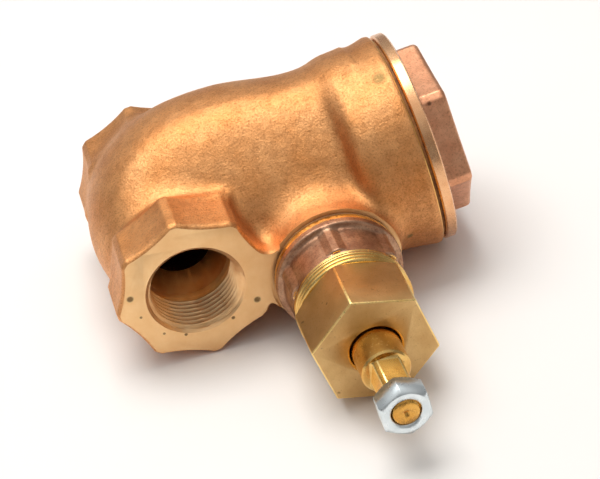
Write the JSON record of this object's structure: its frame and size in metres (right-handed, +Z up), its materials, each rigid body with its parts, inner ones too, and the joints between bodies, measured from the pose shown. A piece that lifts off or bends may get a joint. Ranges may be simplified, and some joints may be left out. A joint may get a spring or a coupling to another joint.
{
  "type": "pressure relief valve",
  "caption": "Cast bronze pressure relief valve with two in-line threaded ports, a spring loaded disc under a hexagon cap and a packed side spindle that lifts the disc.",
  "frame": {"origin": "centre of the inlet port's face", "axes": "+Y from inlet to outlet along the ports, +X from the seat to the cap along the disc's axis, +Z up"},
  "size_m": [0.1073, 0.1309, 0.062],
  "materials": {
    "cast_bronze": "cast, blasted golden tan bronze",
    "cap_bronze": "cast coppery red bronze",
    "bonnet_bronze": "cast bronze, mottled purple brown",
    "packing_nut_brass": "milled dull brass",
    "turned_brass": "turned bright brass",
    "brass": "machined",
    "zinc_plate": "zinc plated, bluish white",
    "spring_steel": "bright spring wire",
    "seat_rubber": "moulded",
    "gasket": "compressed sheet",
    "packing": "graphited braid"
  },
  "bodies": {
    "body": {"valve_body": "cast_bronze", "seat_ring": "brass", "upper_spring_plate": "brass", "adjusting_ring": "brass", "guide_bush": "brass", "cap": "cap_bronze", "cap_gasket": "gasket", "bonnet": "bonnet_bronze", "bonnet_gasket": "gasket", "seal_ring": "turned_brass", "packing_nut": "packing_nut_brass", "gland_follower": "brass", "packing_washer": "brass", "thrust_washer": "brass", "packing_ring_1": "packing", "packing_ring_2": "packing", "packing_ring_3": "packing"},
    "disc": {"disc_holder": "brass", "seat_disc": "seat_rubber", "disc_washer": "brass", "disc_screw": "brass", "lift_stem": "brass", "lift_collar": "brass", "collar_jam_nut": "brass", "lower_spring_plate": "brass", "main_spring": "spring_steel"},
    "spindle": {"spindle": "turned_brass", "lift_finger": "brass", "finger_pin": "spring_steel", "lever_nut": "zinc_plate"}
  },
  "joints": [
    {"name": "spindle_turn", "type": "hinge", "parent": "body", "child": "spindle", "pos_m": [0.038, 0, -0.01], "axis": [0, 1, 0], "range_deg": [0, 30]},
    {"name": "disc_lift", "type": "slide", "parent": "body", "child": "disc", "axis": [1, 0, 0], "range_m": [0, 0.005], "stiffness_N_per_m": 9000, "springref_m": -0.008, "deforming": ["main_spring"]}
  ],
  "couplings": [
    {"joint": "spindle_turn", "follows": "disc_lift", "rad_per_m": 104.7}
  ]
}
